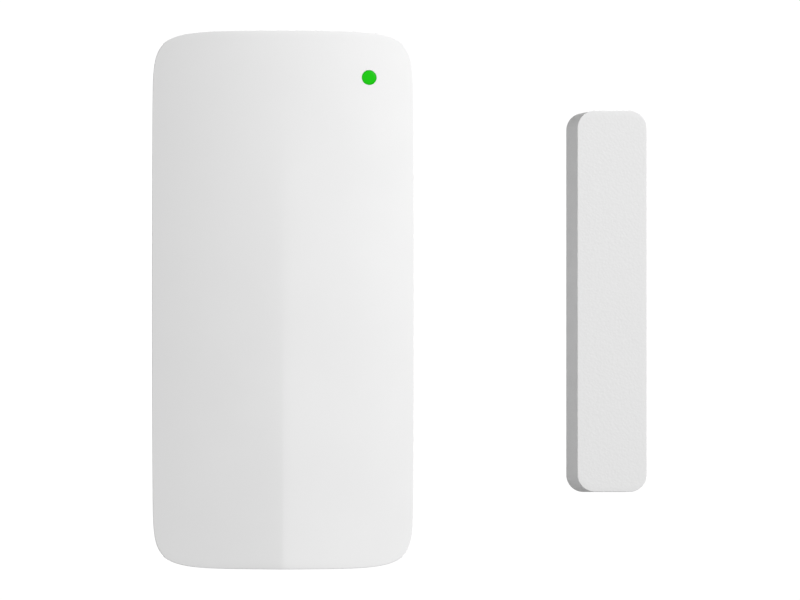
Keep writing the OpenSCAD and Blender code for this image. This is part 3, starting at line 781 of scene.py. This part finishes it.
def light_guide():
    """Stem with a collar; its end follows the cover's slope and is very slightly crowned."""
    low, high = extent("light_guide")
    light_z = face_z(LIGHT_X, LIGHT_Y)
    slope = 2 * EDGE_SLOPE * LIGHT_X / (2 * HALF_W)
    profile = [(0, low.z), (LIGHT_R - 0.1, low.z), (LIGHT_R, low.z + 0.1), (LIGHT_R, SOCKET_LOW),
               (COLLAR_R - 0.1, SOCKET_LOW), (COLLAR_R - 0.1, light_z - FACE + 0.1),
               (LIGHT_R, light_z - FACE + 0.1), (LIGHT_R, light_z - 0.06), (LIGHT_R - 0.08, light_z - 0.02),
               (LIGHT_R * 0.6, light_z), (0, light_z + 0.004)]
    guide = turned("light_guide_lens", (LIGHT_X, LIGHT_Y, 0), OUT, profile, 72)
    for v in guide.data.vertices:
        if -v.co.y / MM > light_z - 0.1:
            v.co.y += slope * (v.co.x - LIGHT_X * MM)
    return placed(guide, "cover_body", "light_plastic", "light_guide")


# ------------ magnet unit

magnet_low, magnet_high = extent("magnet_cover")
MAGNET_X = (magnet_low.x + magnet_high.x) / 2
MAGNET_D = magnet_high.z
DRAFT = 0.68
MAGNET_HALF = ((magnet_high.x - magnet_low.x) / 2, (magnet_high.y - magnet_low.y) / 2)
MAGNET_CORNER = 3.1
MAGNET_WALL, MAGNET_FACE, MAGNET_RIM = 1.3, 1.4, 0.3
MAGNET_ROUND = 0.1


def draft_lean(z):
    return DRAFT * (MAGNET_D - z) / MAGNET_D


def magnet_block(shrink, z0, z1, edge, name):
    """Drafted block: its sides lean in towards the front while its corners keep their radius."""
    base = (MAGNET_HALF[0] - draft_lean(MAGNET_RIM), MAGNET_HALF[1] - draft_lean(MAGNET_RIM))

    def ring(z, inset):
        out = draft_lean(z) - shrink - inset
        return rounded_ring((MAGNET_X, 0), (base[0] + out, base[1] + out),
                            MAGNET_CORNER - shrink - inset, z, 12)

    rings = [ring(z0, 0)]
    steps = 7 if edge else 0
    for k in range(steps + 1):
        angle = pi / 2 * k / max(1, steps)
        rings.append(ring(z1 - edge * (1 - sin(angle)), edge * (1 - cos(angle))))
    return lofted(name, rings)


def magnet_cover():
    cover = magnet_block(0, MAGNET_RIM, MAGNET_D, MAGNET_ROUND, "magnet_cover_shell")
    combine(cover, [magnet_block(MAGNET_WALL, -1, MAGNET_D - MAGNET_FACE, 0, "hollow")])
    return placed(cover, "magnet_cover_body", "grained_plastic", "magnet_cover")


# ------------ electronics

board_low, board_high = extent("circuit_board")
BOARD_TOP = board_high.z
LEG_PITCH, MODULE_PITCH = 0.65, 1.6
TRACK_W, SUPPLY_W, TRACK_T, SINK = 0.25, 0.9, 0.04, 0.01


def solder_joint(at, radius, height):
    """Fillet of solder that climbs a leg."""
    profile = [(0, 0), (radius, 0), (radius * 0.82, height * 0.16), (radius * 0.55, height * 0.42),
               (radius * 0.38, height * 0.8), (radius * 0.3, height), (0, height)]
    return turned("solder", (at[0], at[1], BOARD_TOP - 0.01), OUT, profile, 20)


def washer_pad(at, inner, outer):
    """Bare tinned ring of the board round a screw."""
    profile = [(inner, -0.02), (outer, -0.02), (outer, 0.03), (inner, 0.03)]
    return turned("ring", (at[0], at[1], BOARD_TOP), OUT, profile, 40, ring=True)


def test_pads():
    """Four bare pads in a row between the capacitor and the pairing switch."""
    left, right = extent("capacitor")[1].x + 0.9, extent("setup_switch")[0].x - 1.0
    y = middle(extent("setup_switch")).y + 0.5
    return [(left + (right - left) * k / 3, y) for k in range(4)]


def strip(path, width, floor):
    """Flat strip along a bent line on a board, with mitred corners."""
    path = [Vector(p) for p in path]
    rings = []
    for n, at in enumerate(path):
        ways = [(b - a).normalized() for a, b in zip(path[max(n - 1, 0):], path[max(n, 1):n + 2])]
        along = sum(ways, Vector((0, 0))).normalized()
        side = Vector((-along.y, along.x)) * (width / 2 / along.dot(ways[0]))
        rings.append([(at.x + k * side.x, at.y + k * side.y, floor + h)
                      for k, h in ((1, 0), (1, TRACK_T), (-1, TRACK_T), (-1, 0))])
    return lofted("strip", rings)


def chip_tracks():
    """Tracks from the chip to the module, to the small parts above it and past the crystal."""
    chip_low, chip_high, chip = spot("processor_chip")
    module_low, module_high = extent("radio_module")
    crystal_low, crystal_high = extent("crystal")
    setup_top = extent("setup_switch")[1].y
    paths = []
    for k in range(4):
        pad_y = module_low.y + 4 * MODULE_PITCH + MODULE_PITCH * k
        leg_y = chip.y + (2 * k - 3.5) * LEG_PITCH
        start = chip_low.x - 0.2
        paths.append([(chip_low.x, leg_y), (start, leg_y), (start - abs(pad_y - leg_y), pad_y),
                      (module_high.x, pad_y)])
    for leg, x in ((0, 8.05), (1, 9.15), (3, 10.45), (5, 11.55), (7, 12.85)):
        start, bend_y = chip.x + (leg - 3.5) * LEG_PITCH, chip_high.y + 1.2
        paths.append([(start, chip_high.y), (start, bend_y), (x, bend_y + abs(x - start)), (x, 36.2)])
    for side in (-1, 1):
        paths.append([(chip.x + side, chip_low.y), (chip.x + 1.2 * side, crystal_high.y)])
        paths.append([(chip.x + 1.2 * side, crystal_low.y), (chip.x + 1.2 * side, setup_top)])
    return paths


def long_tracks():
    """Tracks to the light-emitting diode, the reed switch, the tamper switch and the test pads."""
    module_low = extent("radio_module")[0]
    chip_right = extent("processor_chip")[1].x
    tamper_right = extent("tamper_switch")[1].x
    led_low, led_high, led = spot("status_led")
    reed = middle(extent("reed_glass"))
    lead_low, lead_high = extent("reed_fixed_lead", "reed_anchor_lead")
    side = board_high.x - 0.45
    paths = [
        [(12.9, led.y), (led_low.x, led.y)],
        [(led_high.x, led.y), (17.1, led.y), (side - 1, led.y - 1.2), (side - 1, 23)],
        [(chip_right, 28.3), (14.9, 27.7), (14.9, 22.5), (13.6, 21.2), (13.6, 16.6), (15.8, 14.4)],
        [(chip_right, 30.3), (16, 30.3), (side, 27.2), (side, 11), (reed.x, 8.7)],
        [(17, 12.4), (17.5, 11.9), (17.5, 10.3), (reed.x, lead_high.y)],
        [(reed.x, lead_low.y + 0.3), (14.5, lead_low.y + 2.2), (14.5, 11.2), (15.8, 12.4)]]
    paths += [[(module_low.x, y), (tamper_right, y)] for y in (26.8, 28.4, 30.0)]
    paths += [[(module_low.x, 34.8), (-12.2, 34.8), (-14, 36.6)],
              [(module_low.x, 23.6), (-13.4, 23.6), (-14, 23)],
              [(-8, 40.2), (-8, 38.9), (-7.1, 38)]]
    return paths + [[(x, y), (x, module_low.y)] for x, y in test_pads()]


def board_tracks():
    """Copper tracks under the solder mask, from part to part, and a row of small vias."""
    module_low, module_high = extent("radio_module")
    can_low, can_high = extent("capacitor")
    made = [strip(path, TRACK_W, BOARD_TOP - SINK) for path in chip_tracks() + long_tracks()]
    supply = [[(-10.05, 17), (-10.05, module_low.y)], [(-9.6, 16.5), (can_low.x, 16.5)],
              [(can_high.x, 16.5), (3, 16.5)]]
    made += [strip(path, SUPPLY_W, BOARD_TOP - SINK) for path in supply]
    via = [(0.16, -0.02), (0.32, -0.02), (0.3, 0.04), (0.18, 0.04)]
    made += [turned("via", (board_low.x + 0.75, 22.5 + 1.9 * k, BOARD_TOP), OUT, via, 16, ring=True)
             for k in range(7)]
    on_wall(merged("tracks", made), "board_laminate", material=PAINTS["board_track"])
    shield_y = extent("radio_shield")[0].y
    made = []
    for x, way in ((module_low.x, 1), (module_high.x, -1)):
        for y, reach in ((23.6, 4.2), (25.2, 2.6)):
            bend, end = x + (reach - 0.9) * way, x + reach * way
            made.append(strip([(x, y), (bend, y), (end, y + 0.9), (end, shield_y)], TRACK_W,
                              module_high.z - SINK))
    piece = merged("module_tracks", made)
    return on_wall(piece, "module_laminate", material=PAINTS["module_track"])


def board_metal():
    """Screw rings, test pads and the solder round legs and tabs."""
    made = [washer_pad(middle(box), 1.78, 2.1) for box in islands("board_screws")]
    reed = middle(extent("reed_glass"))
    lead_low, lead_high = extent("reed_fixed_lead", "reed_anchor_lead")
    made += [solder_joint((reed.x, y), 0.75, 0.7) for y in (lead_low.y + 0.3, lead_high.y - 0.3)]
    for node in ("battery_plus_contact", "battery_minus_contact"):
        tab = extent(node)
        made.append(soft_block("tab_solder", (middle(tab).x - 1.5, tab[1].y - 1.5, BOARD_TOP - 0.02),
                               (middle(tab).x + 1.5, tab[1].y + 0.35, BOARD_TOP + 0.22), 0.3, 0.12, 3))
    made += [turned("pad", (*at, BOARD_TOP - 0.02), OUT,
                    [(0, 0), (0.5, 0), (0.5, 0.05), (0.35, 0.09), (0, 0.1)], 28) for at in test_pads()]
    return on_wall(merged("board_solder", made), "tinned_steel")


def board_screws():
    """Pan heads with a cross recess, on short shanks."""
    made = []
    for low, high in islands("board_screws"):
        at = middle((low, high))
        radius, top = (high.x - low.x) / 2, high.z
        shank = 0.8
        profile = [(0, low.z), (shank * 0.5, low.z), (shank, low.z + 0.6), (shank, BOARD_TOP),
                   (radius - 0.1, BOARD_TOP), (radius, BOARD_TOP + 0.12), (radius, BOARD_TOP + 0.45)]
        for angle in quarter(6)[1:]:
            profile.append((radius * cos(angle),
                            BOARD_TOP + 0.45 + (top - BOARD_TOP - 0.45) * sin(angle)))
        profile[-1] = (0, top)
        head = turned("screw", (at.x, at.y, 0), OUT, profile, 48)
        arms = [block("arm", (at.x - a, at.y - b, top - 0.7), (at.x + a, at.y + b, top + 1))
                for a, b in ((0.95, 0.19), (0.19, 0.95))]
        for arm in arms:
            for v in arm.data.vertices:
                if -v.co.y / MM < top:
                    v.co.x = (at.x + (v.co.x / MM - at.x) * 0.45) * MM
                    v.co.z = (at.y + (v.co.z / MM - at.y) * 0.45) * MM
        made.append(combine(head, arms))
    return on_wall(merged("screws", made, 30), "screw_steel", "board_screws")


def status_led():
    """Moulded base with a small clear dome."""
    low, high, at = spot("status_led")
    base = soft_block("base", *inside(low, high, 0, low.z, low.z + 0.32), 0.08, 0.05, 2)
    dome = [(0.58 * cos(a), 0.12 + 0.36 * sin(a)) for a in (0.4, 0.8, 1.2)]
    profile = [(0, 0), (0.58, 0), (0.58, 0.12), *dome, (0, high.z - low.z - 0.3)]
    lens = turned("lens", (at.x, at.y, low.z + 0.3), OUT, profile, 32)
    return on_wall(merged("led", [base, lens]), "led_package", "status_led")


def gull_leg(at, out, foot):
    """Thin leg from a package's side, down to the board and out along it."""
    across = Vector((-out[1], out[0], 0))
    run = [(0.0, 0.42), (0.18, 0.42), (0.28, 0.36), (0.36, 0.14), (0.44, 0.07), (foot, 0.07)]
    path = [(at[0] + out[0] * d, at[1] + out[1] * d, BOARD_TOP + h) for d, h in run]
    return ribbon("leg", path, across, 0.24, 0.12)


def processor_chip():
    """Square package with a bevel, a dimple at its first leg and thin legs on four sides."""
    low, high, at = spot("processor_chip")
    half = 3.0
    foot = (high.x - low.x) / 2 - half
    body = soft_block("body", *inside(at, at, -half, BOARD_TOP + 0.1, high.z), 0.12, 0.12, 2, 0.05)
    dimple = turned("dimple", (at.x - 2.1, at.y + 2.1, high.z - 0.08), OUT,
                    [(0, 0), (0.35, 0), (0.38, 0.3), (0, 0.3)], 24)
    combine(body, [dimple])
    legs = []
    for out in ((1, 0), (0, 1), (-1, 0), (0, -1)):
        for k in range(8):
            slide = (k - 3.5) * LEG_PITCH
            start = (at.x + out[0] * (half - 0.05) - out[1] * slide,
                     at.y + out[1] * (half - 0.05) + out[0] * slide)
            legs.append(gull_leg(start, out, foot + 0.04))
    on_wall(merged("chip_legs", legs), "tinned_steel", "processor_chip")
    return on_wall(body, "chip_resin", "processor_chip")


def crystal():
    """Drawn can on a welded flange."""
    low, high = extent("crystal")
    flange = soft_block("flange", *inside(low, high, 0, low.z, low.z + 0.38), 0.5, 0.1, 3)
    can = soft_block("can", *inside(low, high, 0.25, low.z + 0.3, high.z), 0.6, 0.25, 5)
    return on_wall(merged("crystal_can", [flange, can]), "tinned_steel", "crystal")


def capacitor():
    """Aluminium can with a rolled groove, on a moulded base with two cut corners."""
    low, high, at = spot("capacitor")
    radius, base, top = 2.35, low.z + 0.8, high.z
    profile = [(0, base), (radius - 0.1, base), (radius, base + 0.15), (radius, base + 0.7),
               (radius - 0.14, base + 0.85), (radius - 0.14, base + 1.0), (radius, base + 1.15),
               (radius, top - 0.35), (radius - 0.1, top - 0.1), (radius - 0.32, top),
               (radius - 0.5, top - 0.07), (0, top - 0.07)]
    can = turned("can", (at.x, at.y, 0), OUT, profile, 64)
    cuts = []
    for turn in (0, 1, 2):
        angle = pi / 3 * turn
        line = Vector((cos(angle), sin(angle), 0))
        path = [Vector((at.x, at.y, top)) + line * d for d in (-1.6, 1.6)]
        cuts.append(ribbon("score", path, OUT, 0.22, 0.1))
    combine(can, cuts)
    on_wall(can, "capacitor_can", "capacitor")
    h, c = (high.x - low.x) / 2, 0.7
    shape = [(-h, -h), (h - c, -h), (h, -h + c), (h, h - c), (h - c, h), (-h, h)]
    rings = [[(at.x + x * k, at.y + y * k, z) for x, y in shape]
             for k, z in ((1, low.z), (1, base - 0.12), (0.975, base - 0.02))]
    return on_wall(lofted("capacitor_base", rings), "chip_resin", "capacitor")


def chip_parts():
    """Small chip parts with tinned ends."""
    bodies, ends = [], []
    for low, high in islands("resistors"):
        cap = 0.3
        bodies.append(soft_block("body", (low.x + cap, low.y + 0.02, low.z),
                                 (high.x - cap, high.y - 0.02, high.z - 0.02), 0.03, 0.03, 2))
        for x0, x1 in ((low.x, low.x + cap), (high.x - cap, high.x)):
            ends.append(soft_block("end", (x0, low.y, low.z), (x1, high.y, high.z), 0.06, 0.06, 3))
    on_wall(merged("resistor_ends", ends), "tinned_steel", "resistors")
    return on_wall(merged("resistor_bodies", bodies), "chip_ceramic", "resistors")


def radio_pads():
    """Gold-coloured half pads along the module's two long edges."""
    low, high = extent("radio_module")
    inwards, outwards = 0.55, 0.03
    pads = []
    for k in range(9):
        y = low.y + MODULE_PITCH + MODULE_PITCH * k
        for x0, x1 in ((low.x - outwards, low.x + inwards), (high.x - inwards, high.x + outwards)):
            pads.append(soft_block("pad", (x0, y - 0.4, low.z - SINK), (x1, y + 0.4, high.z + 0.03),
                                   0.05, 0.02, 2))
    return on_wall(merged("module_pads", pads), "reed_alloy")


def radio_shield():
    """Drawn sheet-metal can, open towards the board, with two rows of small vents."""
    low, high = extent("radio_shield")
    sheet = 0.3
    can = soft_block("shield", low, high, 0.6, 0.35, 5)
    hollow = soft_block("hollow", *inside(low, high, sheet, low.z - 1, high.z - sheet), 0.4, 0.1, 2)
    vents = [rod("vent", (low.x + 2.2 + 1.5 * i, low.y + 1.6 + 7.4 * j, high.z - 1), OUT, 0.4, 2, 20)
             for i in range(7) for j in range(2)]
    combine(can, [hollow] + vents)
    return on_wall(can, "tinned_steel", "radio_shield")


def antenna_coil():
    """Helix of enamelled wire with a leg at one end."""
    low, high, at = spot("antenna_coil")
    outer, wire_r, turns = (high.y - low.y) / 2, 0.3, 11
    mean, axis_z, steps = outer - wire_r, high.z - outer, 26
    start, run = low.x + wire_r, high.x - low.x - 2 * wire_r
    path = [(start, at.y, BOARD_TOP), (start, at.y, axis_z - mean - 0.15)]
    for k in range(turns * steps + 1):
        angle = 2 * pi * k / steps - pi / 2
        path.append((start + run * k / (turns * steps), at.y + mean * cos(angle),
                     axis_z + mean * sin(angle)))
    return on_wall(wire("antenna_wire", path, wire_r, 10), "copper_alloy", "antenna_coil")


def tact_switch(node, key_node, key_body):
    """Moulded base under a riveted steel plate, with a round key."""
    low, high, at = spot(node)
    key_low, key_high = extent(key_node)
    radius, plate_low = (key_high.x - key_low.x) / 2, high.z - 0.25
    base = soft_block("base", *inside(low, high, 0, low.z, plate_low), 0.25, 0.08, 2)
    plate = soft_block("plate", *inside(low, high, 0.12, plate_low, high.z), 0.35, 0.06, 2)
    for part in (base, plate):
        combine(part, [rod("bore", (at.x, at.y, low.z + 1), OUT, radius + 0.08, 9, 64)])
    rivet_at, rivet_profile = 2.35, [(0, 0), (0.42, 0), (0.4, 0.08), (0.25, 0.16), (0, 0.18)]
    rivets = [turned("rivet", (at.x + i * rivet_at, at.y + j * rivet_at, high.z - 0.03), OUT,
                     rivet_profile, 20) for i in (-1, 1) for j in (-1, 1)]
    for rivet in rivets:
        for v in rivet.data.vertices:
            v.co.y = max(v.co.y, -high.z * MM)
    on_wall(merged(node + "_base", [base] + rivets), "switch_plastic", node)
    on_wall(plate, "tinned_steel", node).name = node + "_plate"
    length = key_high.z - key_low.z
    profile = [(0, 0), (radius, 0), (radius, length - 0.3), (radius - 0.09, length - 0.09),
               (radius - 0.3, length), (0, length)]
    key = turned(key_node + "_key", (at.x, at.y, key_low.z), OUT, profile, 56)
    return placed(key, key_body, "key_plastic", key_node)


# ------------ reed switch


def bent_lead(x, z, inner, leg, side, bend=0.7):
    """Path of a lead: along the tube's axis, then down to the board through a bend."""
    path = [(x, side * inner, z), (x, side * (leg - bend), z)]
    for angle in quarter(6)[1:]:
        path.append((x, side * (leg - bend + bend * sin(angle)), z - bend * (1 - cos(angle))))
    return path + [(x, side * leg, BOARD_TOP)]


def reed_switch():
    """Two plated blades in a sealed tube; the upper one rides on its own body."""
    glass_low, glass_high, at = spot("reed_glass")
    radius = (glass_high.x - glass_low.x) / 2
    half, lead_r = (glass_high.y - glass_low.y) / 2, 0.3
    outer = [(lead_r + 0.02, 0), (0.7, 0.05), (0.98, 0.3), (radius, 0.75)]
    inner = [(0.85, 1.2), (0.8, 1.0), (0.72, 0.93), (lead_r + 0.02, 0.9)]
    profile = outer + [(r, 2 * half - d) for r, d in reversed(outer)]
    profile += [(r, 2 * half - d) for r, d in reversed(inner)] + inner
    tube = turned("reed_tube", (at.x, -half, at.z), UP, profile, 48, ring=True)
    on_wall(tube, "reed_glass", "reed_glass")
    leg = extent("reed_anchor_lead")[1].y - lead_r
    blade_low, blade_high = extent("reed_armature")
    fixed_high = extent("reed_fixed_lead")[1]
    width, thick = blade_high.x - blade_low.x, 0.2
    fixed_z = at.z - 0.2
    blade = ribbon("blade", [(at.x, -half + 1.02, fixed_z), (at.x, fixed_high.y - 0.2, fixed_z),
                             (at.x, fixed_high.y, fixed_z)], ACROSS, width, thick)
    lead = wire("lead", bent_lead(at.x, at.z, half - 1.2, leg, -1), lead_r)
    on_wall(merged("reed_fixed", [lead, blade]), "reed_alloy", "reed_fixed_lead")
    anchor = wire("reed_anchor", bent_lead(at.x, at.z, half - 0.8, leg, 1), lead_r)
    on_wall(anchor, "reed_alloy", "reed_anchor_lead")
    mid = (blade_low.z + blade_high.z) / 2
    moving = ribbon("strip", [(at.x, blade_low.y, mid), (at.x, blade_high.y - 0.15, mid)],
                    ACROSS, width, thick)
    root = rod("root", (blade_low.x, blade_high.y - 0.15, mid), ACROSS, 0.15, width, 24)
    return placed(merged("reed_blade", [moving, root]), "reed_body", "reed_alloy", "reed_armature")


# ------------ batteries


def battery_cell(node, up):
    """Steel can with a nub, in a plain shrink sleeve that turns in over both shoulders."""
    low, high, at = spot(node)
    radius, length = (high.x - low.x) / 2, high.y - low.y
    flat_y = low.y if up else high.y
    way = (0, 1 if up else -1, 0)
    shoulder, nub, skin = length - 1.0, 2.75, 0.1
    base = (at.x, flat_y, at.z)
    case = [(0, 0.2), (radius - 1.9, 0.2), (radius - 1.6, 0.02), (radius - 0.8, 0.02),
            (radius - 0.3, 0.15), (radius - skin, 0.7), (radius - skin, shoulder - 0.7),
            (radius - 0.4, shoulder - 0.2), (radius - 1.2, shoulder - 0.08), (nub + 1.0, shoulder - 0.08),
            (nub + 0.5, shoulder - 0.2), (nub, shoulder - 0.1), (nub, length - 0.3),
            (nub - 0.08, length - 0.08), (nub - 0.3, length), (0, length)]
    can = turned(node + "_can", base, way, case, 72)
    on_wall(can, "contact_steel", node)
    inset = 1.3
    outside = [(radius - inset, 0), (radius - 0.6, 0), (radius - 0.2, 0.12), (radius, 0.5)]
    wrap = outside + [(r, shoulder - d) for r, d in reversed(outside)]
    wrap += [(radius - inset, shoulder - 0.14), (radius - 0.45, shoulder - 0.22),
             (radius - skin - 0.02, shoulder - 0.8), (radius - skin - 0.02, 0.8),
             (radius - 0.35, 0.16), (radius - inset, 0.1)]
    sleeve = turned(node + "_sleeve", base, way, wrap, 72, 50, ring=True)
    ends = sorted((flat_y + way[1] * (shoulder - 3.0), flat_y + way[1] * (shoulder - 13.5)))
    paint = cell_wrap(ends[0], ends[1], node + "_wrap")
    return on_wall(sleeve, "cell_wrap", node, material=paint)


def conical_spring(x, z, wide_y, narrow_y):
    """Conical wire spring, its wide end coiled flat on the contact plate."""
    wire_r, turns, steps = 0.3, 4.5, 40
    wide, narrow = 3.9, 2.9
    way = 1 if narrow_y > wide_y else -1
    first, last = wide_y + way * wire_r, narrow_y - way * wire_r
    path = []
    count = int(turns * steps)
    for k in range(count + 1):
        share = k / count
        rise = max(0, min(1, (share - 0.16) / 0.68))
        radius = wide + (narrow - wide) * share
        angle = 2 * pi * k / steps
        path.append((x + radius * cos(angle), first + (last - first) * rise,
                     z + radius * sin(angle)))
    return wire("spring", path, wire_r, 10)


def battery_springs():
    low, high = extent("battery_springs")
    left, right = extent("battery_cell_left"), extent("battery_cell_right")
    made = [conical_spring(middle(left).x, middle(left).z, low.y, left[0].y),
            conical_spring(middle(right).x, middle(right).z, high.y, right[1].y)]
    return on_wall(merged("springs", made, 60), "spring_steel", "battery_springs")


# ------------ magnet


def bar_magnet():
    """Plated bar with ground edges."""
    low, high = extent("bar_magnet")
    bar = soft_block("magnet_bar", low, high, 0.35, 0.3, 4, 0.3)
    return placed(bar, "magnet_body", "magnet_plating", "bar_magnet")


def paint_cad_nodes():
    """Every CAD node that is still shown takes the finish of its slot."""
    for part in frame["record"]["subparts"]:
        finish = PAINTS.get(part["material_slot"])
        for place in frame["nodes"][part["node"]].material_slots:
            if finish:
                place.material = finish


PAINTS = paints()
add_camera()
front_cover()
light_guide()
magnet_cover()
board_metal()
board_tracks()
board_screws()
status_led()
processor_chip()
crystal()
capacitor()
chip_parts()
radio_pads()
radio_shield()
antenna_coil()
tact_switch("tamper_switch", "tamper_plunger", "tamper_body")
tact_switch("setup_switch", "setup_button", "setup_body")
reed_switch()
battery_cell("battery_cell_left", True)
battery_cell("battery_cell_right", False)
battery_springs()
bar_magnet()
paint_cad_nodes()
add_studio()
